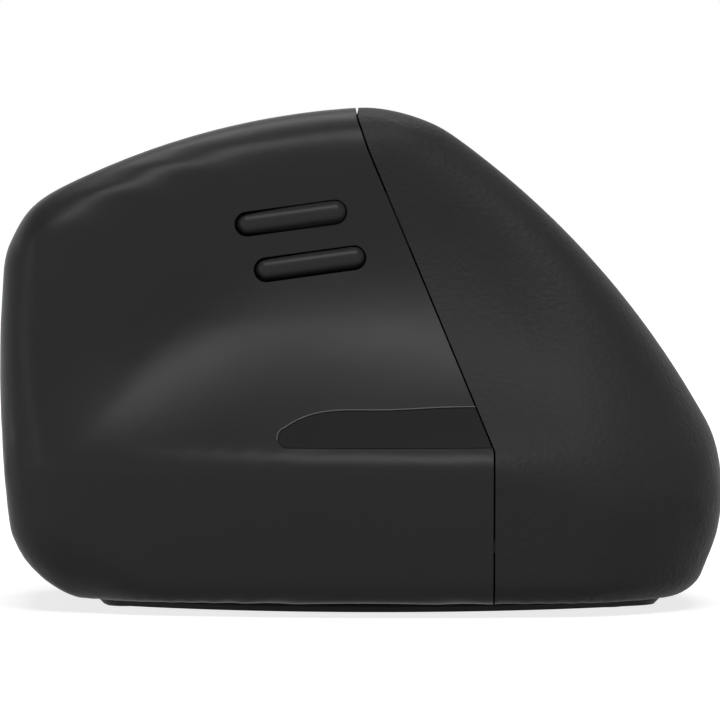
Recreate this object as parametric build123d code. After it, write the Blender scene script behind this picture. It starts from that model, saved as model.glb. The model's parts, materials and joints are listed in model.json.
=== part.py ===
from build123d import *
from math import cos, hypot, radians, sin
import os

import numpy as np

# A vertical ergonomic mouse for the right hand, in millimetres
# While modelling, X runs from the nose (0) to the palm end, the thumb side faces -Y and Z is up
# from the desk. At the end everything moves so that the origin is the middle of the underside.

# Seen from the thumb side: the nose, crest, back and heel of the outline
nose_radius = 197.0
nose_mid_height = 39.2
nose_front_y = 12.0
nose_yaw_share = 0.02
crest_x = 66.0
crest_height = 81.6
crest_radius = 124.6
back_centre_x = -6.5
back_centre_z = -36.5
back_radius = 139.1
heel_x = 120.0
heel_z = 20.0
heel_lean = 21.5
crest_nose_roll = 6.5
crest_back_roll = 4.5
heel_roll = 8.1

# The thumb side: an upright wall, a scoop below it, a ledge for the thumb and a skirt
wall_reach = 14.0
wall_nose_flare = 8.5
wall_nose_length = 55.0
wall_back_flare = 11.0
wall_back_x = 70.0
wall_back_length = 48.0
wall_mid_height = 50.0
wall_lean_share = 0.02
skirt_reach = 35.0
skirt_mid_x = 68.0
skirt_plan_radius = 178.6
skirt_tuck_share = 0.10
ledge_height = 26.6
ledge_slope = 26.0
ledge_inset = 2.0
ledge_roll = 2.8
ledge_soft_roll = 9.0
ledge_soft_x = 72.0
ledge_soft_length = 45.0
ledge_least = 1.5
ledge_fillet_share = 1.15
scoop_top = 48.0
scoop_drop = 21.0
scoop_share = 0.72
scoop_fade_x = 40.0
scoop_fade_length = 60.0

# The finger side: an arc in section that is upright at its foot
finger_reach = 40.0
finger_mid_x = 55.0
finger_plan_radius = 119.0
finger_radius = 90.0
finger_foot = 8.0

# Rolled edges between the two sides and the outline
crest_roll = 8.5
finger_roll = 14.0
palm_roll_share = 0.42
palm_x = 50.0
palm_length = 65.0
least_depth = 14.0
most_depth = 60.0
foot_roll = 3.8
nose_foot_roll = 12.5
nose_foot_x = 30.0
nose_foot_length = 24.0
shine_x = 60.0
shine_z = 15.0
roll_power = 2.2

# Walls, seams and the height of the shell's lower edge
wall = 2.0
half_wall = 1.0
shell_foot = 2.2
seam = 0.30
reveal = 0.35
fit_gap = 0.10
run_gap = 0.06
touch_gap = 0.05
overrun = 200.0
split_y = -1.0

# The rays that measure the skin fan out from a low spine inside the body
ray_rows = 81
ray_columns = 101
inner_ray_rows = 41
inner_ray_columns = 51
ray_fan = 128.0
ray_fan_power = 0.9
ray_reach = 160.0
ray_halvings = 45
spine_x = 61.0
spine_half = 33.0
spine_z = 12.0
spine_rise = 46.0
spine_side = 3.0

# The seam of the palm cover, seen from the thumb side
seam_crest_x = 58.4
seam_shoulder_z = 80.0
seam_straight_x = 60.3
seam_straight_z = 74.5
seam_ledge_x = 80.3
seam_ledge_z = 26.9
notch_width = 0.9
notch_depth = 1.4

# The slope that the finger buttons lie on: U runs to the nose, V up the slope, W outward
slope_x = 28.0
slope_z = 50.0
slope_lean = 30.0
slope_yaw = 11.0

# The two click plates, the bridge between them and the edges of the buttons' field
bridge_half = 7.5
field_top = 31.0
field_low = -27.0
lip_depth = -17.0
lip_travel = 1.6
skirt_front_x = 9.0

# The wheel stands in a slot between the plates
wheel_radius = 11.5
wheel_width = 6.6
wheel_u = 15.0
wheel_w = -12.2
wheel_tyre_depth = 1.8
wheel_axle_radius = 1.5
wheel_slot_half = 3.9
wheel_slot_margin = 0.7
tread_count = 28
tread_width = 1.0
tread_depth = 0.5
tread_inset = 0.9
hub_recess = 1.2
hub_recess_radius = 7.6
spoke_count = 6
spoke_hole_radius = 1.5

# Below the bridge: the round button that sets the pointer speed, and the status light
dpi_u = -9.0
dpi_length = 9.0
dpi_radius = 2.3
dpi_proud = 0.7
dpi_flange = 0.9
dpi_flange_low_w = -2.7
dpi_flange_depth = 1.0
dpi_stem_radius = 1.3
light_u = -17.5
light_radius = 0.8

# The chassis plate, the button board and what stands on it
board = 1.2
plate = 2.0
board_top_w = -15.0
board_front_u = 20.0
board_back_u = -20.0
board_half = 23.5
window_half = 10.2
window_back_u = 1.0
click_switch_u = 3.0
click_switch_v = 18.4
click_switch_length = 12.8
click_switch_width = 5.8
click_switch_height = 6.5
plunger_radius = 0.9
plunger_show = 0.9
plunger_deep = 1.6
plunger_room = 0.9
plunger_swing = 0.16
rib_radius = 1.9
tact_side = 6.0
tact_height = 3.5
tact_show = 0.7
tact_radius = 1.6

# Wheel carriage
arm = 1.3
arm_gap = 0.55
arm_half_u = 4.0
arm_top_w = -9.2
carriage_low_w = -26.8
carriage_bar = 1.6
finger_bar_v = 14.4
finger_bar_w = 1.3
wheel_travel = 0.5
wheel_switch_v = 13.6
encoder_size = 5.0
encoder_depth = 3.2
spring_radius = 2.4
spring_wire = 0.5
spring_turns = 5
spring_height = 4.6
cage_wall = 1.4
cage_gap = 0.45

# Thumb buttons, placed as the photo shows them
forward_x = 47.7
forward_drop = 18.0
forward_z = crest_height - forward_drop
back_x = 50.8
back_drop = 25.4
back_z = crest_height - back_drop
thumb_turn = 7.8
thumb_length = 18.1
thumb_radius = 1.88
thumb_gap = 0.15
thumb_proud = 0.9
thumb_edge = 1.7
thumb_flange = 1.1
thumb_flange_gap = 0.5
thumb_flange_depth = 1.0
thumb_stem_radius = 1.3
window_reach = 6.0
side_board_y = -5.2
side_board_drop = 14.1
side_board_depth = 17.0
side_board_high_z = crest_height - side_board_drop
side_board_low_z = side_board_high_z - side_board_depth
side_board_front_x = 31.2
side_board_back_x = 67.0
side_boss_radius = 2.2
side_screw_radius = 0.8
side_screw_head = 1.6
side_screw_head_depth = 0.9
side_screw_reach = 4.0

# Thumb grip: a teardrop inset that ends at the palm seam
grip_depth = 1.0
grip_tip_x = 45.9
grip_tip_z = 28.7
grip_top = [(46.9, 30.3), (50.8, 32.2), (62.0, 33.0), (72.0, 33.4), (82.5, 33.4)]
grip_low = [(82.5, 27.5), (62.5, 27.45), (47.6, 27.45)]

# Base plate, feet and what is under the mouse
base_inner_top = 4.2
base_low = 0.6
base_gap = 0.35
base_front_x = 16.2
base_back_x = 107.8
base_side_inset = 8.5
base_mid_y = (finger_reach - skirt_reach) / 2
base_half_y = (finger_reach + skirt_reach) / 2 - base_side_inset
base_end_half_y = 15.0
base_chamfer = 0.9
foot_height = 0.8
foot_inset = 0.2
front_foot_x = 20.4
front_foot_length = 22.0
back_foot_x = 99.0
back_foot_length = 26.0
foot_radius = 3.2
sensor_x = 47.0
sensor_y = 3.0
sensor_ring_radius = 6.0
sensor_ring_wall = 1.0
sensor_hole = 3.2
lens_radius = 4.6
board_low_z = 7.6
main_front_x = 8.2
main_back_x = 72.0
main_low_y = -15.0
main_high_y = 24.0
main_corner = 7.0
post_radius = 3.0
post_places = [(22.0, -10.0), (31.0, 19.5), (67.0, -10.0), (67.0, 20.0)]
leg_insets = [(42.0, -5.5), (24.0, -10.5), (30.0, -25.5)]
screw_radius = 1.1
screw_length = 8.0
screw_head_radius = 2.3
screw_head_depth = 1.3
slot_width = 0.7
slot_depth = 0.6
slot_length = 3.0
power_x = 61.0
power_y = 3.0
power_length = 7.0
power_width = 4.0
power_travel = 2.5
power_slot_length = 12.0
power_body_length = 13.0
power_body_width = 5.5
pair_x = 61.0
pair_y = 13.0
pair_radius = 2.3

# Power: the pouch cell and its tray, and the charging inlet at the nose
cell_length = 29.0
cell_width = 36.0
cell_height = 6.0
cell_x = 89.0
cell_y = 3.0
cell_round = 1.5
tray_wall = 1.2
tray_floor = 1.2
tray_corner = 5.0
tray_chamfer = 0.8
pad_height = 0.8
inlet_width = 8.94
inlet_height = 3.2
inlet_length = 7.4
inlet_shell = 0.3
inlet_tongue = 0.7
inlet_tongue_width = 6.7
inlet_y = 3.0
inlet_front_x = 3.0
inlet_gap = 0.25
inlet_wall_reach = 6.0
wire_radius = 0.6
ribbon_width = 8.0
ribbon_thick = 0.3
ribbon_x = 53.6
ribbon_y = 20.0
side_ribbon_x = 54.0
sensor_chip_length = 10.6
sensor_chip_width = 8.0
sensor_chip_height = 2.4
lens_low_z = 3.0
pair_flange = 0.9
pair_flange_height = 1.0
pair_low = 0.9
pair_switch_height = 3.0
pair_switch_show = 0.4
knob_low = 0.9
knob_stem = 2.0
knob_stem_height = 1.5
knob_rib_width = 0.6
knob_rib_depth = 0.3
knob_ribs = 4
plug_length = 5.0
plug_width = 4.5
plug_height = 3.0
wire_gap = 1.7
wire_rise = 2.4
led_size = 1.6
led_height = 0.8
base_corner = 6.0
base_flange = 1.5


def soft_step(t):
    """Rise from 0 to 1 with no kink at either end."""
    t = np.clip(t, 0, 1)
    return t * t * t * (t * (6 * t - 15) + 10)


def meet_inside(a, b, roll, power=2.0):
    """Distance to where two forms overlap, with the outer edge rolled."""
    u = np.maximum(a + roll, 0)
    v = np.maximum(b + roll, 0)
    return np.minimum(-roll, np.maximum(a, b)) + (u**power + v**power) ** (1 / power)


def join_outside(a, b, roll):
    """Distance to two forms joined, with the inner corner filled."""
    u = np.maximum(roll - a, 0)
    v = np.maximum(roll - b, 0)
    return np.maximum(roll, np.minimum(a, b)) - np.hypot(u, v)


def outline_distance(x, y, z):
    """Distance outside the outline that the thumb side shows."""
    nose_shift = nose_yaw_share * (nose_front_y - y)
    nose = np.hypot(x - nose_radius - nose_shift, z - nose_mid_height) - nose_radius
    crest = np.hypot(x - crest_x, z - crest_height + crest_radius) - crest_radius
    back = np.hypot(x - back_centre_x, z - back_centre_z) - back_radius
    lean = radians(heel_lean)
    heel = (x - heel_x) * cos(lean) - (z - heel_z) * sin(lean)
    top = meet_inside(crest, back, crest_back_roll)
    front = meet_inside(top, nose, crest_nose_roll)
    return meet_inside(front, heel, heel_roll)


def finger_y(x, z):
    """Where the finger side's surface lies."""
    rise = np.maximum(z - finger_foot, 0)
    foot_y = finger_reach - (x - finger_mid_x) ** 2 / (2 * finger_plan_radius)
    inner = np.sqrt(np.maximum(finger_radius**2 - rise**2, 0))
    return foot_y - finger_radius + inner


def thumb_wall_y(x, z):
    """Where the thumb side's upright wall lies, with its scoop."""
    nose_flare = wall_nose_flare * soft_step((wall_nose_length - x) / wall_nose_length)
    back_flare = wall_back_flare * soft_step((x - wall_back_x) / wall_back_length)
    lean = wall_lean_share * (z - wall_mid_height)
    upright = lean - wall_reach - nose_flare - back_flare
    depth = np.maximum(upright - skirt_y(x, ledge_height), 0)
    fade = 1 - soft_step((x - scoop_fade_x) / scoop_fade_length)
    drop = np.maximum(scoop_top - np.maximum(z, ledge_height), 0) / scoop_drop
    return upright - scoop_share * fade * depth * drop**2


def skirt_y(x, z):
    """Where the skirt below the ledge lies."""
    bow = (x - skirt_mid_x) ** 2 / (2 * skirt_plan_radius)
    return bow - skirt_reach + skirt_tuck_share * np.maximum(ledge_height - z, 0)


def thumb_distance(x, y, z):
    """Distance outside the thumb side: wall, scoop, ledge and skirt."""
    wall_y = thumb_wall_y(x, z)
    low_y = skirt_y(x, z)
    slope = radians(ledge_slope)
    ledge = (z - ledge_height) * cos(slope) - (y - low_y - ledge_inset) * sin(slope)
    softer = ledge_soft_roll * soft_step((x - ledge_soft_x) / ledge_soft_length)
    low = meet_inside(low_y - y, ledge, ledge_roll + softer, roll_power)
    depth = np.maximum(wall_y - low_y, ledge_least)
    return join_outside(wall_y - y, low, ledge_fillet_share * depth)


def body_distance(x, y, z):
    """Distance outside the body's skin."""
    outline = outline_distance(x, y, z)
    thumb = thumb_distance(x, y, z)
    foot_y = finger_reach - (x - finger_mid_x) ** 2 / (2 * finger_plan_radius)
    rise = np.maximum(z - finger_foot, 0)
    reach = np.hypot(y - foot_y + finger_radius, rise)
    finger = reach - finger_radius
    depth = np.clip(finger_y(x, z) - thumb_wall_y(x, z), least_depth, most_depth)
    palm = soft_step((x - palm_x) / palm_length)
    thumb_roll = crest_roll + (palm_roll_share * depth - crest_roll) * palm
    wide_roll = finger_roll + (palm_roll_share * depth - finger_roll) * palm
    height = z - shine_z
    steep = np.clip(height / np.maximum(np.hypot(x - shine_x, height), wall), 0, 1)
    turn = 1 - steep * rise / np.maximum(reach, wall)
    body = meet_inside(outline, thumb, thumb_roll, roll_power)
    body = meet_inside(body, finger, wide_roll * turn, roll_power)
    nose_foot = soft_step((nose_foot_x - x) / nose_foot_length)
    low_roll = foot_roll + (nose_foot_roll - foot_roll) * nose_foot
    return meet_inside(body, shell_foot - z, low_roll)


def skin_solid(inset):
    """The closed body whose surface lies inset below the outer skin."""
    rows = ray_rows if inset == 0 else inner_ray_rows
    columns = ray_columns if inset == 0 else inner_ray_columns
    u = np.linspace(-1, 1, rows)[:, None] * np.ones((1, columns))
    v = np.ones((rows, 1)) * np.linspace(-1, 1, columns)[None, :]
    across = u * np.sqrt(1 - v * v / 2)
    aside = v * np.sqrt(1 - u * u / 2)
    out = np.hypot(across, aside)
    safe = np.maximum(out, np.finfo(float).eps)
    fan = np.radians(ray_fan) * out**ray_fan_power
    start = (
        spine_x + spine_half * across,
        -spine_side * (1 - out),
        spine_z + spine_rise * (1 - out) ** 2,
    )
    way = (np.sin(fan) * across / safe, np.sin(fan) * aside / safe, np.cos(fan))
    near = np.zeros_like(out)
    far = np.full_like(out, ray_reach)
    for _ in range(ray_halvings):
        middle = (near + far) / 2
        place = [s + w * middle for s, w in zip(start, way)]
        inside = body_distance(*place) < -inset
        near = np.where(inside, middle, near)
        far = np.where(inside, far, middle)
    points = np.stack([s + w * near for s, w in zip(start, way)], -1)
    steps = [j / (columns - 1) for j in range(columns)]
    lines = [
        Wire([Edge.make_spline([Vector(*p) for p in row], parameters=steps)])
        for row in points.tolist()
    ]
    skin = Shell.make_loft(lines).faces()[0]
    return Solid(Shell([skin, Face(skin.outer_wire())]))


# Outer casing: seams, windows and insets
def prism(points, low_y, high_y):
    """A solid of constant outline in X and Z between two places in Y."""
    face = make_face(Polyline(*[(x, z) for x, z in points], close=True))
    sketch = Plane.XZ * face
    middle = (low_y + high_y) / 2
    return Pos(0, middle, 0) * extrude(sketch, (high_y - low_y) / 2, both=True)


def block(plane, u, v, w):
    """A box between pairs of limits along a plane's own axes."""
    size = (u[1] - u[0], v[1] - v[0], w[1] - w[0])
    middle = ((u[0] + u[1]) / 2, (v[0] + v[1]) / 2, (w[0] + w[1]) / 2)
    return plane.location * (Pos(*middle) * Box(*size))


def rod(plane, u, v, radius, w):
    """A round rod that stands on a plane between two heights."""
    height = w[1] - w[0]
    return plane.location * (Pos(u, v, (w[0] + w[1]) / 2) * Cylinder(radius, height))


def pill(plane, u, v, turn, length, radius, w):
    """A round-ended bar that stands on a plane between two heights."""
    outline = Rot(0, 0, turn) * SlotOverall(length, 2 * radius)
    solid = extrude(outline, w[1] - w[0])
    return plane.location * (Pos(u, v, w[0]) * solid)


def largest(shape):
    """The largest solid in a shape."""
    return max(shape.solids(), key=lambda solid: solid.volume)

# The slope's own axes, and where the palm seam meets them
slope_y = float(finger_y(slope_x, slope_z))
leg_places = [(x, slope_y + inset) for x, inset in leg_insets]
slope_out = (
    -sin(radians(slope_yaw)) * cos(radians(slope_lean)),
    cos(radians(slope_yaw)) * cos(radians(slope_lean)),
    sin(radians(slope_lean)),
)
slope_ahead = (-cos(radians(slope_yaw)), -sin(radians(slope_yaw)), 0)
finger_plane = Plane(origin=(slope_x, slope_y, slope_z), x_dir=slope_ahead, z_dir=slope_out)
finger_seam_u = finger_plane.to_local_coords(Vector(seam_crest_x, split_y, crest_height)).X


def palm_region(shift):
    """Everything behind the palm seam, with its edge moved back by shift."""
    slant = hypot(seam_ledge_x - seam_straight_x, seam_straight_z - seam_ledge_z)
    edge = shift * slant / (seam_straight_z - seam_ledge_z)
    points = [
        (seam_crest_x + edge, overrun),
        (seam_crest_x + edge, seam_shoulder_z),
        (seam_straight_x + edge, seam_straight_z),
        (seam_ledge_x + shift, seam_ledge_z),
        (seam_ledge_x + shift, -overrun),
        (overrun, -overrun),
        (overrun, overrun),
    ]
    thumb_half = prism(points, -overrun, split_y)
    back = (-overrun, finger_seam_u - shift)
    finger_half = block(finger_plane, back, (-overrun, overrun), (-overrun, overrun))
    finger_half = finger_half & prism(
        [(-overrun, -overrun), (overrun, -overrun), (overrun, overrun), (-overrun, overrun)],
        split_y,
        overrun,
    )
    return thumb_half + finger_half


def thumb_plane(x, z):
    """A plane on the thumb wall: U along X, V up, W out towards the thumb."""
    return Plane(origin=(x, float(thumb_wall_y(x, z)), z), x_dir=(1, 0, 0), z_dir=(0, -1, 0))


def flat_box(x, y, z):
    """A box between pairs of limits along X, Y and Z."""
    return block(Plane.XY, x, y, z)


def post(x, y, radius, low_z, high_z):
    """An upright round rod."""
    return rod(Plane.XY, x, y, radius, (low_z, high_z))


everywhere = (-overrun, overrun)
tact_bore = tact_radius + run_gap


def tact(plane, u, v, foot_w, height=tact_height, show=tact_show):
    """A small square switch and the round plunger that stands out of it."""
    half = tact_side / 2
    top = foot_w + height
    case = block(plane, (u - half, u + half), (v - half, v + half), (foot_w, top))
    deep = top - plunger_deep
    case = case - rod(plane, u, v, tact_bore, (deep - plunger_room, top + overrun))
    return case, rod(plane, u, v, tact_radius, (deep, top + show))


def base_outline(inset):
    """The plan of the plate under the shell: two bowed sides and two short ends."""
    half_end = base_end_half_y - inset
    front = base_front_x + inset
    back = base_back_x - inset
    middle = (front + back) / 2
    near = base_mid_y - base_half_y + inset
    far = base_mid_y + base_half_y - inset
    with BuildSketch() as drawing:
        with BuildLine():
            ThreePointArc(
                (front, base_mid_y - half_end), (middle, near), (back, base_mid_y - half_end)
            )
            Line((back, base_mid_y - half_end), (back, base_mid_y + half_end))
            ThreePointArc(
                (back, base_mid_y + half_end), (middle, far), (front, base_mid_y + half_end)
            )
            Line((front, base_mid_y + half_end), (front, base_mid_y - half_end))
        make_face()
        fillet(drawing.vertices(), base_corner)
    return drawing.sketch


def base_prism(inset, heights):
    """The base's plan, set in by inset, between two heights."""
    return Pos(0, 0, heights[0]) * extrude(base_outline(inset), heights[1] - heights[0])


# Casing pieces
outer_body = skin_solid(0)
room_body = skin_solid(wall + fit_gap)
half_body = skin_solid(half_wall)
shell = outer_body - skin_solid(wall) - base_prism(base_flange, (-overrun, base_inner_top + wall))
plate_back_u = finger_seam_u + seam / 2
slot_back_u = wheel_u - wheel_radius
wheel_place = Plane(
    origin=finger_plane.from_local_coords((wheel_u, 0, wheel_w)),
    x_dir=slope_ahead,
    z_dir=finger_plane.y_dir,
)
wheel_room = rod(
    wheel_place,
    0,
    0,
    wheel_radius + wheel_slot_margin + wheel_travel,
    (-wheel_slot_half, wheel_slot_half),
)


def crest_notch():
    """The small V where the palm seam crosses the crest."""
    half = notch_width / 2
    top = crest_height + notch_width
    points = [
        (seam_crest_x - half, top),
        (seam_crest_x + half, top),
        (seam_crest_x, crest_height - notch_depth),
    ]
    return prism(points, -overrun, overrun)


def grip_prism(edge):
    """The outline of the thumb grip, let out by edge."""
    upper = [(x, z + edge) for x, z in grip_top]
    lower = [(x, z - edge) for x, z in grip_low]
    with BuildSketch(Plane.XZ) as drawing:
        with BuildLine():
            ThreePointArc(lower[-1], (grip_tip_x - edge, grip_tip_z), upper[0])
            Spline(*upper)
            Polyline(upper[-1], *lower)
        make_face()
    solid = extrude(drawing.sketch, overrun, both=True)
    return solid & flat_box(everywhere, (-overrun, split_y), everywhere)


def thumb_window(x, z):
    """The opening in the thumb wall for one button."""
    return pill(
        thumb_plane(x, z),
        0,
        0,
        thumb_turn,
        thumb_length + 2 * thumb_gap,
        thumb_radius + thumb_gap,
        (-window_reach, overrun),
    )


def field_block(side_gap, low_w):
    """The field of the finger buttons, let out by side_gap on its long edges."""
    back = (finger_seam_u - seam, overrun)
    across = (field_low - side_gap, field_top + side_gap)
    return block(finger_plane, back, across, (low_w, overrun))


def skirt_block(shift):
    """The low part of the finger side, with its edges moved in by shift."""
    low = block(
        finger_plane,
        (finger_seam_u + shift, overrun),
        (-overrun, field_low - shift),
        everywhere,
    )
    return low & flat_box((skirt_front_x + shift, overrun), (split_y, overrun), everywhere)


def make_thumb_panel():
    """The housing that wraps the thumb side, the crest and the nose."""
    panel = shell - palm_region(-seam / 2)
    panel = panel - field_block(reveal / 2, lip_depth - lip_travel)
    panel = panel - skirt_block(-seam / 2)
    panel = largest(panel)
    panel = panel - wheel_room - crest_notch()
    for x, z in ((forward_x, forward_z), (back_x, back_z)):
        panel = panel - thumb_window(x, z)
    grip_seat = grip_prism(fit_gap) - skin_solid(grip_depth)
    panel = panel - grip_seat
    panel = panel - inlet_block(inlet_gap)
    for x, z in side_bosses():
        panel = panel + side_boss(x, z)
    return largest(panel)


def side_bosses():
    """Where the side board's two bosses stand, in X and Z."""
    inset = side_boss_radius + fit_gap
    low = side_board_low_z + inset
    high = side_board_high_z - inset
    return ((side_board_front_x + inset, high), (side_board_back_x - inset, low))


def side_boss(x, z):
    """A boss from the thumb wall to the side board, bored for its screw."""
    seat = Plane(origin=(x, side_board_y, z), x_dir=(1, 0, 0), z_dir=(0, -1, 0))
    boss = rod(seat, 0, 0, side_boss_radius, (0, overrun)) & half_body
    near = flat_box(everywhere, (-overrun, side_board_y), everywhere)
    boss = largest(boss & near)
    return boss - rod(seat, 0, 0, side_screw_radius + run_gap, (-overrun, side_screw_reach))


def make_palm_cover():
    """The soft cover behind the palm seam, round the heel and up to the crest."""
    return largest((shell & palm_region(seam / 2)) - crest_notch())


def click_plate(side):
    """One finger button: a plate of the skin with a lip at the nose and a rib below."""
    if side > 0:
        across = (bridge_half + reveal / 2, field_top - reveal / 2)
    else:
        across = (field_low + reveal / 2, -bridge_half - reveal / 2)
    plate_zone = block(finger_plane, (plate_back_u, overrun), across, (lip_depth, overrun))
    panel = largest(shell & plate_zone) - wheel_room
    rib_low = click_top_w() + plunger_show + touch_gap
    rib = rod(finger_plane, click_switch_u, side * click_switch_v, rib_radius, (rib_low, overrun))
    return largest(panel + (rib & half_body))


def click_top_w():
    """The height of the top of the two click switches."""
    return board_top_w + click_switch_height


def make_bridge_cover():
    """The fixed strip between the plates, slotted for the wheel."""
    across = (reveal / 2 - bridge_half, bridge_half - reveal / 2)
    strip = shell & block(finger_plane, (plate_back_u, overrun), across, (lip_depth, overrun))
    strip = largest(strip)
    slot_end = slot_back_u + wheel_slot_half
    slot = (-wheel_slot_half, wheel_slot_half)
    strip = strip - block(finger_plane, (slot_end, overrun), slot, (lip_depth - wall, overrun))
    strip = strip - rod(finger_plane, slot_end, 0, wheel_slot_half, (lip_depth, overrun))
    hole = dpi_radius + reveal
    strip = strip - pill(
        finger_plane, dpi_u, 0, 0, dpi_length + 2 * reveal, hole, (lip_depth, overrun)
    )
    strip = strip - rod(finger_plane, light_u, 0, light_radius + run_gap, (lip_depth, overrun))
    return largest(strip)


def make_finger_skirt():
    """The lower wall of the finger side, under the second plate."""
    return largest(shell & skirt_block(seam / 2))


def make_thumb_button(x, z):
    """A thumb button: a rounded pill, a flange that keeps it in and a stem to its switch."""
    plane = thumb_plane(x, z)
    cap = pill(plane, 0, 0, thumb_turn, thumb_length, thumb_radius, (-wall, thumb_proud))
    rim = cap.faces().sort_by(Axis.Y)[0].edges()
    cap = fillet(rim, thumb_edge)
    flange_top = wall + thumb_flange_gap
    lip = pill(
        plane,
        0,
        0,
        thumb_turn,
        thumb_length + 2 * thumb_flange,
        thumb_radius + thumb_flange,
        (-flange_top - thumb_flange_depth, -flange_top),
    )
    neck = pill(plane, 0, 0, thumb_turn, thumb_length, thumb_radius, (-flange_top, -wall))
    stem_end = plane.origin.Y - side_switch_top_y() + tact_show + touch_gap
    stem = rod(plane, 0, 0, thumb_stem_radius, (stem_end, -flange_top))
    return largest(cap + neck + lip + stem)


def side_switch_top_y():
    """The Y of the top of the two thumb switches."""
    return side_board_y - tact_height


def make_thumb_grip():
    """The dark inset for the thumb, on the floor of its seat."""
    pad = (outer_body & grip_prism(0)) - skin_solid(grip_depth)
    return largest(pad - palm_region(-seam / 2))


def make_dpi_button():
    """The pill-shaped pointer speed button on the bridge."""
    cap = pill(finger_plane, dpi_u, 0, 0, dpi_length, dpi_radius, (-wall, dpi_proud))
    rim = cap.edges().filter_by(lambda e: finger_plane.to_local_coords(e.center()).Z > 0)
    rim = [e for e in rim if abs(finger_plane.to_local_coords(e.center()).Z - dpi_proud) < run_gap]
    cap = fillet(rim, dpi_proud)
    neck = pill(
        finger_plane, dpi_u, 0, 0, dpi_length, dpi_radius, (dpi_flange_low_w, -wall)
    )
    low = dpi_flange_low_w
    flange = pill(
        finger_plane,
        dpi_u,
        0,
        0,
        dpi_length + 2 * dpi_flange,
        dpi_radius + dpi_flange,
        (low - dpi_flange_depth, low),
    )
    stem_end = board_top_w + tact_height + tact_show + touch_gap
    stem = rod(finger_plane, dpi_u, 0, dpi_stem_radius, (stem_end, low))
    return largest(cap + neck + flange + stem)


# The wheel, its carriage and the spring under it
def make_wheel_tyre():
    """The ribbed rubber tyre."""
    half = wheel_width / 2
    ring = Cylinder(wheel_radius, wheel_width) - Cylinder(
        wheel_radius - wheel_tyre_depth, wheel_width + overrun
    )
    ring = fillet(ring.edges().filter_by(GeomType.CIRCLE).sort_by(SortBy.RADIUS)[-2:], tread_inset)
    reach = wheel_radius - tread_depth / 2
    groove = Pos(reach, 0, 0) * Box(tread_depth, tread_width, 2 * (half - tread_inset))
    for k in range(tread_count):
        ring = ring - Rot(0, 0, k * 360 / tread_count) * groove
    return wheel_place.location * largest(ring)


def make_wheel_hub():
    """The hub: a drum with a thin spoked web."""
    radius = wheel_radius - wheel_tyre_depth
    drum = Cylinder(radius, wheel_width)
    side = wheel_width / 2 - hub_recess / 2
    for place in (side, -side):
        drum = drum - Pos(0, 0, place) * (
            Cylinder(hub_recess_radius, hub_recess) - Cylinder(2 * wheel_axle_radius, hub_recess)
        )
    reach = (hub_recess_radius + 2 * wheel_axle_radius) / 2
    for k in range(spoke_count):
        turn = Rot(0, 0, k * 360 / spoke_count)
        drum = drum - turn * (Pos(reach, 0, 0) * Cylinder(spoke_hole_radius, wheel_width))
    drum = drum - Cylinder(wheel_axle_radius, wheel_width + overrun)
    return wheel_place.location * largest(drum)


def arm_outer():
    """How far out along V the carriage's arms reach."""
    return wheel_width / 2 + arm_gap + arm


def make_wheel_axle():
    """The steel axle through the hub, the arms and the encoder."""
    far = arm_outer() + encoder_depth / 2
    near = arm_outer()
    return rod(wheel_place, 0, 0, wheel_axle_radius, (-far, near))


def make_wheel_carriage():
    """The U-shaped carriage that holds the axle and bears on the wheel switch."""
    outer = arm_outer()
    inner = outer - arm
    span = (wheel_u - arm_half_u, wheel_u + arm_half_u)
    frame = block(finger_plane, span, (-outer, outer), (carriage_low_w, arm_top_w))
    hollow = block(
        finger_plane,
        everywhere,
        (-inner, inner),
        (carriage_low_w + carriage_bar, overrun),
    )
    frame = frame - hollow
    bar_low = board_top_w + tact_height + tact_show + touch_gap
    bar = block(
        finger_plane,
        (wheel_u - arm, wheel_u + arm),
        (inner, finger_bar_v + arm),
        (bar_low, bar_low + finger_bar_w),
    )
    frame = frame + bar
    frame = frame - rod(wheel_place, 0, 0, wheel_axle_radius + run_gap, everywhere)
    return largest(frame)


def make_wheel_encoder():
    """The encoder on the carriage's outer face, around the axle's end."""
    outer = arm_outer()
    half = encoder_size
    case = block(
        finger_plane,
        (wheel_u - arm_half_u, wheel_u + arm_half_u),
        (-outer - encoder_depth, -outer),
        (wheel_w - half / 2, wheel_w + half / 2),
    )
    return largest(case - rod(wheel_place, 0, 0, wheel_axle_radius + run_gap, everywhere))


# The spring leaves the carriage room for its travel
spring_floor = carriage_low_w - spring_height - wheel_travel - fit_gap


def make_wheel_spring():
    """The coil spring that lifts the carriage."""
    pitch = (spring_height - spring_wire) / spring_turns
    coil = Helix(pitch=pitch, height=pitch * spring_turns, radius=spring_radius)
    start = Plane(origin=coil @ 0, z_dir=coil % 0)
    wire = sweep(start * Circle(spring_wire / 2), path=coil)
    low = spring_floor + spring_wire / 2
    return finger_plane.location * (Pos(wheel_u, 0, low) * largest(wire))


# The chassis, the two upper boards and their switches
def board_block(back_u, front_u, half, w):
    """A plate on the finger slope, trimmed to the inside of the casing."""
    sheet = block(finger_plane, (back_u, front_u), (-half, half), w) & room_body
    return sheet - block(finger_plane, (window_back_u, overrun), (-window_half, window_half), w)


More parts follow.
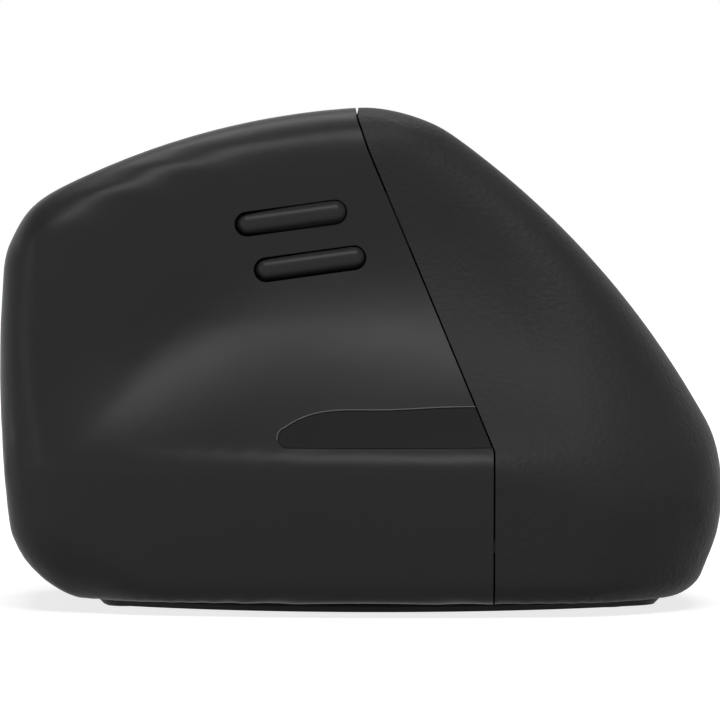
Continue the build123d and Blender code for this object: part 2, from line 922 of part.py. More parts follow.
def make_chassis():
    """The sloped plate, its legs and the cage that the wheel's spring stands in."""
    top = board_top_w - board
    low = top - plate
    sheet = board_block(board_back_u, board_front_u, board_half, (low, top))
    sheet = largest(sheet)
    under = block(finger_plane, everywhere, everywhere, (-overrun, top - plate / 2))
    for x, y in leg_places:
        leg = post(x, y, post_radius, base_inner_top, crest_height) & under
        sheet = sheet + largest(leg)
    inner = arm_outer() + cage_gap
    outer = inner + cage_wall
    floor = spring_floor
    span = (wheel_u - arm_half_u - cage_gap, wheel_u + arm_half_u + cage_gap)
    cage = block(finger_plane, span, (-outer, outer), (floor - cage_wall, low))
    cage = cage - block(finger_plane, everywhere, (-inner, inner), (floor, overrun))
    ears = block(finger_plane, span, (-window_half - cage_wall, window_half + cage_wall), (low, top))
    ears = ears - block(finger_plane, everywhere, (-inner, inner), everywhere)
    sheet = sheet + cage + ears
    for x, y in leg_places:
        sheet = sheet - post(x, y, screw_radius + run_gap, 0, screw_length + screw_head_depth + screw_radius)
    return largest(sheet)


def make_button_board():
    """The board on the chassis that carries the button switches."""
    sheet = board_block(board_back_u, board_front_u, board_half, (board_top_w - board, board_top_w))
    return largest(sheet)


def click_switch(side):
    """A long micro switch and the plunger that its click plate presses."""
    v = side * click_switch_v
    half_length = click_switch_length / 2
    half_width = click_switch_width / 2
    along = (click_switch_u - half_length, click_switch_u + half_length)
    across = (v - half_width, v + half_width)
    top = click_top_w()
    case = block(finger_plane, along, across, (board_top_w, top))
    deep = top - plunger_deep
    bore = plunger_radius + run_gap
    slot_u = click_switch_u - plunger_swing / 2
    slot = 2 * bore + plunger_swing
    case = case - pill(finger_plane, slot_u, v, 0, slot, bore, (deep - plunger_room, top + overrun))
    return case, rod(finger_plane, click_switch_u, v, plunger_radius, (deep, top + plunger_show))


def make_side_board():
    """The small board behind the thumb buttons, on the casing's bosses."""
    sheet = flat_box(
        (side_board_front_x, side_board_back_x),
        (side_board_y, side_board_y + board),
        (side_board_low_z, side_board_high_z),
    )
    for x, z in side_bosses():
        seat = Plane(origin=(x, side_board_y, z), z_dir=(0, -1, 0))
        sheet = sheet - rod(seat, 0, 0, side_screw_radius + run_gap, everywhere)
    return largest(sheet)


def make_side_screws():
    """The two screws that hold the side board."""
    screws = []
    for x, z in side_bosses():
        seat = Plane(origin=(x, side_board_y + board, z), x_dir=(1, 0, 0), z_dir=(0, 1, 0))
        head = rod(seat, 0, 0, side_screw_head, (0, side_screw_head_depth))
        shank = rod(seat, 0, 0, side_screw_radius, (-board - side_screw_reach, 0))
        screws.append(largest(head + shank))
    return Compound(children=screws)


def side_switch(x, z):
    """The switch behind one thumb button, and its plunger."""
    seat = Plane(origin=(x, side_board_y, z), x_dir=(1, 0, 0), z_dir=(0, -1, 0))
    return tact(seat, 0, 0, 0)


# The base plate, the main board and what they carry
main_top = board_low_z + board
inlet_z = main_top + inlet_height / 2


def inlet_block(gap):
    """The outer form of the charging inlet, let out by gap and run out of the nose."""
    front = Plane(origin=(inlet_front_x, inlet_y, inlet_z), x_dir=(0, 1, 0), z_dir=(1, 0, 0))
    low = 0 if gap == 0 else -inlet_wall_reach
    return pill(front, 0, 0, 0, inlet_width + 2 * gap, inlet_height / 2 + gap, (low, inlet_length))


def make_usb_receptacle():
    """The steel inlet shell with its inner tongue."""
    front = Plane(origin=(inlet_front_x, inlet_y, inlet_z), x_dir=(0, 1, 0), z_dir=(1, 0, 0))
    mouth = pill(
        front,
        0,
        0,
        0,
        inlet_width - 2 * inlet_shell,
        inlet_height / 2 - inlet_shell,
        (-inlet_shell, inlet_length - 4 * inlet_shell),
    )
    half_width = inlet_tongue_width / 2
    half_thick = inlet_tongue / 2
    tongue = block(
        front,
        (-half_width, half_width),
        (-half_thick, half_thick),
        (2 * inlet_shell, inlet_length - inlet_shell),
    )
    return largest((inlet_block(0) - mouth) + tongue)


def foot_pill(x, edge, low_z, high_z):
    """The outline of one glide foot, let out by edge."""
    length = (front_foot_length if x == front_foot_x else back_foot_length) + 2 * edge
    return pill(Plane.XY, x, base_mid_y, 90, length, foot_radius + edge, (low_z, high_z))


def make_base_plate():
    """The black base: a plate inside the casing and a slab below its lower edge."""
    upper = base_prism(base_flange + fit_gap, (base_low + base_chamfer, base_inner_top))
    slab = base_prism(0, (base_low, shell_foot - base_gap))
    lower_rim = slab.edges().group_by(Axis.Z)[0]
    slab = chamfer(lower_rim, base_chamfer)
    plate_solid = upper + slab
    for x in (front_foot_x, back_foot_x):
        plate_solid = plate_solid - foot_pill(x, fit_gap, -overrun, foot_height)
    ring_top = base_low + sensor_ring_wall
    plate_solid = plate_solid - post(
        sensor_x, sensor_y, sensor_ring_radius + run_gap, -overrun, ring_top
    )
    plate_solid = plate_solid - post(sensor_x, sensor_y, sensor_hole, -overrun, overrun)
    plate_solid = plate_solid - post(sensor_x, sensor_y, lens_radius + run_gap, lens_low_z, overrun)
    half_slot = power_slot_length / 2
    half_width = power_width / 2 + fit_gap
    plate_solid = plate_solid - flat_box(
        (power_x - half_slot, power_x + half_slot),
        (power_y - half_width, power_y + half_width),
        (-overrun, base_inner_top),
    )
    pair_bore = pair_radius + fit_gap
    plate_solid = plate_solid - post(pair_x, pair_y, pair_bore, -overrun, base_inner_top)
    pocket_low = pair_button_top() - pair_flange_height - fit_gap
    pocket_radius = pair_radius + pair_flange + fit_gap
    plate_solid = plate_solid - post(pair_x, pair_y, pocket_radius, pocket_low, base_inner_top)
    for x, y in post_places:
        stud = post(x, y, post_radius, base_inner_top - half_wall, board_low_z)
        plate_solid = plate_solid + stud
    for x, y in post_places:
        plate_solid = plate_solid - post(x, y, screw_radius + run_gap, main_top - screw_length, overrun)
    for x, y in leg_places:
        plate_solid = plate_solid - post(x, y, screw_radius + run_gap, -overrun, overrun)
        head_top = base_low + fit_gap + screw_head_depth
        plate_solid = plate_solid - post(x, y, screw_head_radius + fit_gap, -overrun, head_top)
    return largest(plate_solid)


def screw(x, y, head_z, way):
    """One cross-slotted screw whose shank points up (way 1) or down (way -1) from its head."""
    depth = screw_head_depth
    head = Cylinder(screw_head_radius, depth)
    for turn in (0, 90):
        cut = Rot(0, 0, turn) * Box(slot_length, slot_width, slot_depth)
        head = head - Pos(0, 0, (slot_depth - depth) / 2) * cut
    shank = Pos(0, 0, (depth + screw_length) / 2) * Cylinder(screw_radius, screw_length)
    solid = Pos(0, 0, depth / 2) * (head + shank)
    if way < 0:
        solid = Rot(180, 0, 0) * solid
    return Pos(x, y, head_z) * largest(solid)


def make_base_screws():
    """The screws that go up through the base into the chassis legs."""
    low = base_low + fit_gap
    return Compound(children=[screw(x, y, low, 1) for x, y in leg_places])


def make_board_screws():
    """The screws that hold the main board on its posts."""
    top = main_top + screw_head_depth
    return Compound(children=[screw(x, y, top, -1) for x, y in post_places])


def make_main_board():
    """The main board, rounded at the nose and notched for the chassis legs."""
    sheet = flat_box(
        (main_front_x, main_back_x), (main_low_y, main_high_y), (board_low_z, main_top)
    )
    corners = sheet.edges().filter_by(Axis.Z).sort_by(Axis.X)[:2]
    sheet = fillet(corners, main_corner)
    for x, y in leg_places:
        sheet = sheet - post(x, y, post_radius + seam, 0, overrun)
    for x, y in post_places:
        sheet = sheet - post(x, y, screw_radius + run_gap, 0, overrun)
    return largest(sheet - post(sensor_x, sensor_y, sensor_hole / 2, 0, overrun))


def make_sensor_chip():
    """The tracking sensor on the main board."""
    half_length = sensor_chip_length / 2
    half_width = sensor_chip_width / 2
    chip = flat_box(
        (sensor_x - half_length, sensor_x + half_length),
        (sensor_y - half_width, sensor_y + half_width),
        (main_top, main_top + sensor_chip_height),
    )
    return chip


def make_sensor_lens():
    """The clear lens between the base and the main board."""
    low = post(sensor_x, sensor_y, lens_radius, lens_low_z, board_low_z)
    dimple = Pos(sensor_x, sensor_y, lens_low_z) * Sphere(sensor_hole / 2)
    return largest(low - dimple)


def make_sensor_ring():
    """The trim ring round the sensor's opening."""
    top = base_low + sensor_ring_wall
    disc = post(sensor_x, sensor_y, sensor_ring_radius, base_low, top)
    disc = chamfer(disc.edges().group_by(Axis.Z)[0], seam)
    return largest(disc - post(sensor_x, sensor_y, sensor_hole, -overrun, overrun))


def make_foot(x):
    """One slippery glide foot."""
    solid = foot_pill(x, 0, 0, foot_height)
    return chamfer(solid.edges().group_by(Axis.Z)[0], foot_inset)


def make_power_switch():
    """The slide switch under the main board."""
    half_length = power_body_length / 2
    half_width = power_body_width / 2
    low = base_inner_top + fit_gap
    case = flat_box(
        (power_x - half_length, power_x + half_length),
        (power_y - half_width, power_y + half_width),
        (low, board_low_z),
    )
    reach = (power_travel + knob_stem) / 2 + fit_gap
    half_stem = knob_stem / 2 + fit_gap
    return case - flat_box(
        (power_x - reach, power_x + reach),
        (power_y - half_stem, power_y + half_stem),
        (0, low + knob_stem_height),
    )


def make_power_knob():
    """The ribbed knob of the power switch, at its off end."""
    x = power_x - power_travel / 2
    half_length = power_length / 2
    half_width = power_width / 2
    body = flat_box(
        (x - half_length, x + half_length),
        (power_y - half_width, power_y + half_width),
        (knob_low, base_inner_top),
    )
    pitch = power_length / (knob_ribs + 1)
    for k in range(knob_ribs):
        middle = x - half_length + pitch * (k + 1)
        body = body - flat_box(
            (middle - knob_rib_width / 2, middle + knob_rib_width / 2),
            everywhere,
            (0, knob_low + knob_rib_depth),
        )
    half_stem = knob_stem / 2
    stem = flat_box(
        (x - half_stem, x + half_stem),
        (power_y - half_stem, power_y + half_stem),
        (base_inner_top - half_wall, base_inner_top + knob_stem_height),
    )
    return largest(body + stem)


def pair_button_top():
    """The top of the pairing button, just under its switch's plunger."""
    return board_low_z - pair_switch_height - pair_switch_show - touch_gap


def make_pairing_button():
    """The round button under the base."""
    top = pair_button_top()
    cap = post(pair_x, pair_y, pair_radius, pair_low, top)
    cap = fillet(cap.edges().group_by(Axis.Z)[0], seam)
    flange = post(pair_x, pair_y, pair_radius + pair_flange, top - pair_flange_height, top)
    return largest(cap + flange)


def pairing_switch():
    """The small switch that hangs under the main board, and its plunger."""
    seat = Plane(origin=(pair_x, pair_y, board_low_z), x_dir=(1, 0, 0), z_dir=(0, 0, -1))
    return tact(seat, 0, 0, 0, pair_switch_height, pair_switch_show)


# Power
def make_battery():
    """The pouch cell."""
    low = base_inner_top + tray_floor + pad_height
    cell = Pos(cell_x, cell_y, low + cell_height / 2) * Box(cell_length, cell_width, cell_height)
    return fillet(cell.edges(), cell_round)


def make_battery_pad():
    """The foam pad under the cell."""
    low = base_inner_top + tray_floor
    half_length = cell_length / 2 - cell_round
    half_width = cell_width / 2 - cell_round
    return flat_box(
        (cell_x - half_length, cell_x + half_length),
        (cell_y - half_width, cell_y + half_width),
        (low, low + pad_height),
    )


def make_battery_tray():
    """The open tray that the cell lies in."""
    half_length = cell_length / 2 + seam
    half_width = cell_width / 2 + seam
    top = base_inner_top + tray_floor + pad_height + cell_height / 2
    tray = flat_box(
        (cell_x - half_length - tray_wall, cell_x + half_length + tray_wall),
        (cell_y - half_width - tray_wall, cell_y + half_width + tray_wall),
        (base_inner_top, top),
    )
    hollow = flat_box(
        (cell_x - half_length, cell_x + half_length),
        (cell_y - half_width, cell_y + half_width),
        (base_inner_top + tray_floor, top + overrun),
    )
    tray = fillet(tray.edges().filter_by(Axis.Z), tray_corner)
    tray = chamfer(tray.faces().sort_by(Axis.Z)[0].edges(), tray_chamfer)
    return largest(tray - hollow)


def make_battery_plug():
    """The plug of the cell's leads on the main board."""
    high_x = main_back_x - screw_radius
    return flat_box(
        (high_x - plug_length, high_x),
        (cell_y - plug_width / 2, cell_y + plug_width / 2),
        (main_top, main_top + plug_height),
    )


def make_battery_leads():
    """The two short leads from the cell to its plug, over the tray's wall."""
    leads = []
    start_x = cell_x - cell_length / 2
    end_x = main_back_x - screw_radius
    low = base_inner_top + tray_floor + pad_height + cell_height / 2 + cell_round
    between = flat_box((end_x + touch_gap, start_x - touch_gap), everywhere, everywhere)
    for side in (-1, 1):
        y = cell_y + side * wire_gap / 2
        path = ThreePointArc(
            (start_x + wire_radius, y, low + wire_radius),
            ((start_x + end_x) / 2, y, low + wire_rise),
            (end_x - wire_radius, y, main_top + plug_height / 2),
        )
        start = Plane(origin=path @ 0, z_dir=path % 0)
        wire = sweep(start * Circle(wire_radius), path=path)
        leads.append(largest(wire & between))
    return Compound(children=leads)


# Light, leads between the boards
def make_status_light():
    """The light guide from the button board to the bridge's surface."""
    foot = board_top_w + led_height + touch_gap
    guide = rod(finger_plane, light_u, 0, light_radius, (foot, overrun))
    return largest(guide & outer_body)


def make_status_led():
    """The lamp under the light guide."""
    half = led_size / 2
    return block(
        finger_plane,
        (light_u - half, light_u + half),
        (-half, half),
        (board_top_w, board_top_w + led_height),
    )


def make_ribbon_lead():
    """The flat lead from the main board up to the back edge of the button board."""
    edge = finger_plane.from_local_coords((board_back_u, 0, board_top_w - board / 2))
    half = ribbon_width / 2
    upright = flat_box(
        (ribbon_x, ribbon_x + ribbon_thick), (ribbon_y - half, ribbon_y + half), (main_top, edge.Z)
    )
    return upright


def make_side_ribbon():
    """The flat lead from the main board up the back of the side board."""
    half = ribbon_width / 2
    back = side_board_y + board
    return flat_box(
        (side_ribbon_x - half, side_ribbon_x + half),
        (back, back + ribbon_thick),
        (main_top, side_board_low_z + ribbon_width),
    )


def build():
    """Every piece by name."""
    switches = {
        "left": click_switch(1),
        "right": click_switch(-1),
        "wheel": tact(finger_plane, wheel_u, wheel_switch_v, board_top_w),
        "dpi": tact(finger_plane, dpi_u, 0, board_top_w),
        "forward": side_switch(forward_x, forward_z),
        "back": side_switch(back_x, back_z),
        "pairing": pairing_switch(),
    }
    pieces = {
        "thumb_panel": make_thumb_panel(),
        "palm_cover": make_palm_cover(),
        "left_click_plate": click_plate(1),
        "right_click_plate": click_plate(-1),
        "bridge_cover": make_bridge_cover(),
        "finger_skirt": make_finger_skirt(),
        "forward_button": make_thumb_button(forward_x, forward_z),
        "back_button": make_thumb_button(back_x, back_z),
        "thumb_grip": make_thumb_grip(),
        "dpi_button": make_dpi_button(),
        "wheel_tyre": make_wheel_tyre(),
        "wheel_hub": make_wheel_hub(),
        "wheel_axle": make_wheel_axle(),
        "wheel_carriage": make_wheel_carriage(),
        "wheel_encoder": make_wheel_encoder(),
        "wheel_spring": make_wheel_spring(),
        "chassis": make_chassis(),
        "button_board": make_button_board(),
        "side_board": make_side_board(),
        "side_screws": make_side_screws(),
        "base_plate": make_base_plate(),
        "base_screws": make_base_screws(),
        "board_screws": make_board_screws(),
        "main_board": make_main_board(),
        "sensor_chip": make_sensor_chip(),
        "sensor_lens": make_sensor_lens(),
        "sensor_ring": make_sensor_ring(),
        "front_foot": make_foot(front_foot_x),
        "back_foot": make_foot(back_foot_x),
        "power_switch": make_power_switch(),
        "power_knob": make_power_knob(),
        "pairing_button": make_pairing_button(),
        "usb_receptacle": make_usb_receptacle(),
        "battery": make_battery(),
        "battery_pad": make_battery_pad(),
        "battery_tray": make_battery_tray(),
        "battery_plug": make_battery_plug(),
        "battery_leads": make_battery_leads(),
        "status_light": make_status_light(),
        "status_led": make_status_led(),
        "ribbon_lead": make_ribbon_lead(),
        "side_ribbon": make_side_ribbon(),
    }
    for name, (case, plunger) in switches.items():
        pieces[name + "_switch"] = case
        pieces[name + "_plunger"] = plunger
    return pieces


pieces = build()
whole = Compound(children=[solid for piece in pieces.values() for solid in piece.solids()])
box = whole.bounding_box()
to_origin = Pos(-(box.min.X + box.max.X) / 2, -(box.min.Y + box.max.Y) / 2, -box.min.Z)
os.makedirs("parts", exist_ok=True)
for name, piece in pieces.items():
    export_step(to_origin * piece, "parts/" + name + ".step")
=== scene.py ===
"""A vertical ergonomic mouse for the right hand: its moulded skins, rubber, boards and stage."""

import json
from math import cos, radians, sin

import bpy
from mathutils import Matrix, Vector


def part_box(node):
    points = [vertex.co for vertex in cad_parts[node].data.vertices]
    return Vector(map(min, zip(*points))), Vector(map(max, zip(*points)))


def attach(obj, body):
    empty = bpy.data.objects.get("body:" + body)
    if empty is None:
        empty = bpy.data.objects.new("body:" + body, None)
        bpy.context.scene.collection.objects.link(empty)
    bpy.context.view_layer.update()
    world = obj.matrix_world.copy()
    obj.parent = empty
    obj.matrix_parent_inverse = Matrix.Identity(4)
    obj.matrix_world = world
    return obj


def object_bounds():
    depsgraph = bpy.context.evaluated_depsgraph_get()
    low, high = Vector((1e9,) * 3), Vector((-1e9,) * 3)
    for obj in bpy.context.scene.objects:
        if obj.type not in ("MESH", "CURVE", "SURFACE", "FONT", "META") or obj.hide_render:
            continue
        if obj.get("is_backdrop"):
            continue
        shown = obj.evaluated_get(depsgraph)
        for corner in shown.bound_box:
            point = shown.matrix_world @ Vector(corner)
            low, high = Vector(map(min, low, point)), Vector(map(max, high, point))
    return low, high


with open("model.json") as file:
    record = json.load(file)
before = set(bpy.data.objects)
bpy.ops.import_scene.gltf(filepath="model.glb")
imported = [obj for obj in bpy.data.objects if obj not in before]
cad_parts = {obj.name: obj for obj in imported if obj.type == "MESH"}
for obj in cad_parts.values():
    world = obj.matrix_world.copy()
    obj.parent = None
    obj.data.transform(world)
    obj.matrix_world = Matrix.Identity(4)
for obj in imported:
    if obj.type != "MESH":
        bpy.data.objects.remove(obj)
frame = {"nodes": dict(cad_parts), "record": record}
cad_low, cad_high = (Vector(corner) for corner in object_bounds())

bl_info = {
    "name": "Vertical mouse",
    "version": (1, 0, 0),
    "blender": (4, 5, 0),
    "location": "View3D > Sidebar > Mouse",
    "description": "Dresses a vertical ergonomic mouse and sets up its studio",
    "category": "Object",
}

MM = 0.001
# Two places nearer than this are the same one, and corners nearer than the second are merged
TOUCH = 0.001 * MM
WELD = 0.002 * MM
# A face looks along an axis when its normal's share on that axis is over this
SQUARE_ON = 0.9

# A moulded finish drifts from patch to patch, with this share of its fine grain mixed in
DRIFT_PATCH = 22 * MM
DRIFT_FINE_SHARE = 0.35
# Noise from the low value to the high one shifts its roughness from this much less to this much more
DRIFT_LOW = 0.3
DRIFT_HIGH = 0.7
MOULDED_GLOSS_DRIFT = 0.04
# The scratches of drawn and plated metal run level: they are this many times narrower along Z
SCRATCH_NARROWING = 9
# The shares of its colour where it is darkest and lightest, and how far its roughness shifts
METAL_DARKEST = 0.85
METAL_LIGHTEST = 1.08
METAL_GLOSS_DRIFT = 0.08

# How far every lamp stands from the middle of the mouse, in metres
LAMP_AWAY = 1.1
# Each lamp: its name, its turn round the mouse from the camera and its rise, both in degrees, its
# width and height in metres, and the setting that holds its power
LAMPS = (
    ("key_soft_box", 6, 53, 0.7, 0.42, "key_power"),
    ("side_soft_box", -55, 8, 0.4, 0.3, "side_power"),
    ("far_soft_box", 180, 64, 0.7, 0.5, "far_power"),
)
# The floor's width in metres, its mottle's spacing and darkest share, and its roughness
FLOOR_SIZE = 12
FLOOR_MOTTLE = 4 * MM
FLOOR_DARKEST = 0.985
FLOOR_ROUGHNESS = 0.9
# The floor's glow grows from this share beside the mouse to full white, between these two distances
FLOOR_GLOW_SHARE = 0.8
FLOOR_DIM_TO = 80 * MM
FLOOR_WHITE_FROM = 450 * MM
# The room is white up to the first height and grey from the second, each the sine of the angle
# over the desk. The grey is this share of the white
ROOM_WHITE_TO = 0.3
ROOM_GREY_FROM = 0.75
CEILING_SHARE = 0.15
# The camera sees nothing nearer than the first distance or farther than the second, in metres
CLIP_NEAR = 10 * MM
CLIP_FAR = 20

# The inlet's tongue carries twelve contacts on each face, as its standard says
CONTACT_PITCH = 0.5 * MM
CONTACT_COUNT = 12
CONTACT_SIZE = (2.6 * MM, 0.28 * MM, 0.03 * MM)
CONTACT_SOFTENING = 0.008 * MM
# Where a contact's middle lies: behind the inlet's mouth, and off the middle of the tongue
CONTACT_FROM_MOUTH = 2.2 * MM
TONGUE_HALF = 0.355 * MM

# Chips on the main board, in mm: place along X and Y, size, and leads on each long side
CHIPS = (
    (-19, -11.2, (7, 5.5, 1.0), 12),
    (1.5, 8, (4, 3.2, 0.9), 6),
    (-42, -9, (5, 3.8, 0.9), 8),
)
# A chip's case stands this far over the board. Its top has a panel, sunk inside a rim
CHIP_RAISE = 0.05 * MM
CHIP_SOFTENING = 0.12 * MM
CHIP_RIM = 0.35 * MM
CHIP_SINK = 0.05 * MM
# A lead is cut out of a strip, and its width is a share of the spacing of the leads
LEAD_THICK = 0.16 * MM
LEAD_WIDTH_SHARE = 0.45
LEAD_SOFTENING_SHARE = 1 / 6
# It leaves the middle of the chip's side and steps down, until its own middle is this far over the board
LEAD_SEAT = 0.1 * MM
# Its two level runs and the slope between them are these shares of one length
LEAD_REACH = 1.2 * MM
LEAD_RUN_SHARE = 1 / 3
LEAD_SLOPE_SHARE = 1 / 4

# The radio's can and the crystal, in mm: place along X and Y, size, edge radius, rim and sunk depth
CANS = (
    (-40.5, 5.5, (9, 7.5, 1.6), 0.2, 0.5, 0.12),
    (-11, -12, (3.2, 2.5, 0.8), 0.1, 0.25, 0.06),
)

# The small capacitors, in mm: the first one's place, its body, and its tinned ends, which lie this far
# from its middle and a hair higher
CAPACITOR_PLACE = (-24, 8)
CAPACITOR_BODY = (0.9, 0.8, 0.8)
CAPACITOR_END = (0.34, 0.84, 0.84)
CAPACITOR_END_OUT = 0.62
CAPACITOR_END_RAISE = 0.01
CAPACITOR_SOFTENING = 0.06 * MM
# The steps in mm from the first capacitor to each of the others
CAPACITOR_STEPS = (
    (0, 1.6),
    (2, 0),
    (2, 1.6),
    (4, 0),
    (4, 1.6),
    (-2.5, -18.5),
    (-2.5, -20.1),
    (9, 4),
    (11, 4),
    (13, 4),
    (24, -4.5),
    (26, -4.5),
    (24, 6.5),
    (26, 6.5),
    (28, 6.5),
    (-16, 8),
    (-18, 8),
)


def linear(code):
    """Turns an sRGB hex value into the linear colour that a shader takes."""
    parts = [int(code[place : place + 2], 16) / 255 for place in (1, 3, 5)]
    return [part / 12.92 if part <= 0.04045 else ((part + 0.055) / 1.055) ** 2.4 for part in parts]


def colour_property(label, help_text, code):
    """A colour that a user can change."""
    return bpy.props.FloatVectorProperty(
        name=label, description=help_text, default=linear(code), size=3, min=0, max=1, subtype="COLOR"
    )


def length_property(label, help_text, millimetres):
    """A length that a user can change."""
    return bpy.props.FloatProperty(
        name=label, description=help_text, default=millimetres * MM, min=0, unit="LENGTH", precision=5
    )


class MouseColours(bpy.types.PropertyGroup):
    """The colours of the mouse's materials."""

    shell: colour_property("Shell", "Charcoal ABS of the thumb panel", "#262627")
    cover: colour_property("Cover", "Soft-touch coat of the palm cover and the finger skirt", "#2d2d2e")
    keys: colour_property("Keys", "Satin black ABS of the click plates and the buttons", "#2b2b2c")
    pad: colour_property("Thumb pad", "Matt silicone inset", "#232324")
    base: colour_property("Base", "Black underside", "#1d1d1e")
    tyre: colour_property("Tyre", "Wheel rubber", "#171717")
    hub: colour_property("Hub", "Dark plastic of the wheel's hub and the frame inside", "#3b3c3e")
    mask: colour_property("Solder mask", "Green of the boards", "#0f4f2a")
    copper: colour_property("Contacts", "Gold flash on the pads", "#c9a24a")
    steel: colour_property("Steel", "Screws, axle, spring and inlet", "#b9bbbd")
    switch: colour_property("Switch", "Moulded switch bodies, chips and foam", "#1b1b1c")
    plunger: colour_property("Plunger", "Natural acetal plungers, and the lamp's resin", "#d9d6cc")
    lens: colour_property("Lens", "Clear polycarbonate over the lamp and the sensor", "#e4eaec")
    foil: colour_property("Cell", "Aluminium pouch", "#b4b6b9")
    film: colour_property("Film", "Amber polyimide ribbon", "#b0651a")
    # The bead's colour is far paler than the shell's: a painted highlight along the thumb pad's rim
    highlight_bead: colour_property("Bead", "Pale bead over the thumb pad, a painted highlight", "#575758")
    ceramic: colour_property("Ceramic", "Tan bodies of the small capacitors", "#a58a66")
    lead_red: colour_property("Lead", "Insulation of the leads", "#9a1812")
    foot: colour_property("Feet", "Low-friction glide feet", "#262627")
    floor: colour_property("Floor", "Studio floor, which the lamps light", "#a6a6a6")


class MouseSizes(bpy.types.PropertyGroup):
    """The sizes of the details that the solids leave out."""

    grain: length_property("Grain", "Spacing of the eroded grain on the shell", 0.35)
    pebble: length_property("Pebble", "Spacing of the soft coat's pebble", 0.9)
    highlight_bead: length_property("Pad bead", "Thickness of the bead over the thumb pad", 0.24)
    bead_gap: length_property("Bead gap", "How far the bead lies outside the pad's rim", 0.26)


class MouseStage(bpy.types.PropertyGroup):
    """The studio: camera and lamps."""

    camera_away: length_property("Camera distance", "From the lens to the middle of the mouse", 1000)
    camera_height: length_property("Camera height", "Height of the lens over the desk", 90)
    frame_width: length_property("Frame width", "Width of the picture at the mouse", 118.6)
    camera_drop: length_property("Camera drop", "How far below the middle the lens points", 0.95)
    key_power: bpy.props.FloatProperty(
        name="Key", description="Soft box at the front", default=9.5, unit="POWER"
    )
    side_power: bpy.props.FloatProperty(
        name="Side", description="Soft box at the nose", default=1.0, unit="POWER"
    )
    far_power: bpy.props.FloatProperty(
        name="Far", description="Soft box over the far side", default=5.5, unit="POWER"
    )
    world_strength: bpy.props.FloatProperty(name="World", description="Even light of the room", default=0.04)


def add(tree, kind, settings=None, links=None):
    """Adds one node with its settings, and links it to the sockets that feed it."""
    node = tree.nodes.new(kind)
    for key, value in (settings or {}).items():
        if isinstance(key, str) and hasattr(node, key):
            setattr(node, key, value)
        else:
            node.inputs[key].default_value = value
    for key, socket in (links or {}).items():
        tree.links.new(socket, node.inputs[key])
    return node


def blank(name):
    """A new material with its shader, and the object's own coordinates."""
    material = bpy.data.materials.new(name)
    material.use_nodes = True
    tree = material.node_tree
    tree.nodes.clear()
    shader = add(tree, "ShaderNodeBsdfPrincipled")
    add(tree, "ShaderNodeOutputMaterial", None, {"Surface": shader.outputs["BSDF"]})
    place = add(tree, "ShaderNodeTexCoord").outputs["Object"]
    return material, tree, shader, place


def shade(colour, share):
    """A colour made darker or lighter, with its alpha."""
    return [min(1, part * share) for part in colour] + [1]


def moulded(name, colour, roughness, specular, grain, depth, spread=0.10, clear=0.0):
    """Moulded polymer: an eroded grain, with tone and gloss that drift a little over the surface."""
    material, tree, shader, place = blank(name)
    fine = add(
        tree, "ShaderNodeTexNoise", {"Scale": 1 / grain, "Detail": 3, "Roughness": 0.6}, {"Vector": place}
    )
    broad = add(tree, "ShaderNodeTexNoise", {"Scale": 1 / DRIFT_PATCH, "Detail": 2}, {"Vector": place})
    drift = add(
        tree,
        "ShaderNodeMix",
        {"data_type": "FLOAT", "Factor": DRIFT_FINE_SHARE},
        {2: broad.outputs["Fac"], 3: fine.outputs["Fac"]},
    )
    tone = add(
        tree,
        "ShaderNodeMix",
        {"data_type": "RGBA", 6: shade(colour, 1 - spread), 7: shade(colour, 1 + spread)},
        {0: drift.outputs[0]},
    )
    gloss = add(
        tree,
        "ShaderNodeMapRange",
        {
            "From Min": DRIFT_LOW,
            "From Max": DRIFT_HIGH,
            "To Min": roughness - MOULDED_GLOSS_DRIFT,
            "To Max": roughness + MOULDED_GLOSS_DRIFT,
        },
        {"Value": drift.outputs[0]},
    )
    bump = add(
        tree, "ShaderNodeBump", {"Strength": 1.0, "Distance": depth}, {"Height": fine.outputs["Fac"]}
    )
    shader.inputs["Specular IOR Level"].default_value = specular
    shader.inputs["Transmission Weight"].default_value = clear
    tree.links.new(tone.outputs[2], shader.inputs["Base Color"])
    tree.links.new(gloss.outputs["Result"], shader.inputs["Roughness"])
    tree.links.new(bump.outputs["Normal"], shader.inputs["Normal"])
    return material


def metal(name, colour, roughness, grain, depth):
    """Plated or drawn metal: fine scratches that spread its gloss."""
    material, tree, shader, place = blank(name)
    stretch = add(tree, "ShaderNodeMapping", {"Scale": (1, 1, SCRATCH_NARROWING)}, {"Vector": place})
    fine = add(
        tree, "ShaderNodeTexNoise", {"Scale": 1 / grain, "Detail": 4}, {"Vector": stretch.outputs["Vector"]}
    )
    tone = add(
        tree,
        "ShaderNodeMix",
        {"data_type": "RGBA", 6: shade(colour, METAL_DARKEST), 7: shade(colour, METAL_LIGHTEST)},
        {0: fine.outputs["Fac"]},
    )
    gloss = add(
        tree,
        "ShaderNodeMapRange",
        {"To Min": roughness - METAL_GLOSS_DRIFT, "To Max": roughness + METAL_GLOSS_DRIFT},
        {"Value": fine.outputs["Fac"]},
    )
    bump = add(tree, "ShaderNodeBump", {"Distance": depth}, {"Height": fine.outputs["Fac"]})
    shader.inputs["Metallic"].default_value = 1
    tree.links.new(tone.outputs[2], shader.inputs["Base Color"])
    tree.links.new(gloss.outputs["Result"], shader.inputs["Roughness"])
    tree.links.new(bump.outputs["Normal"], shader.inputs["Normal"])
    return material


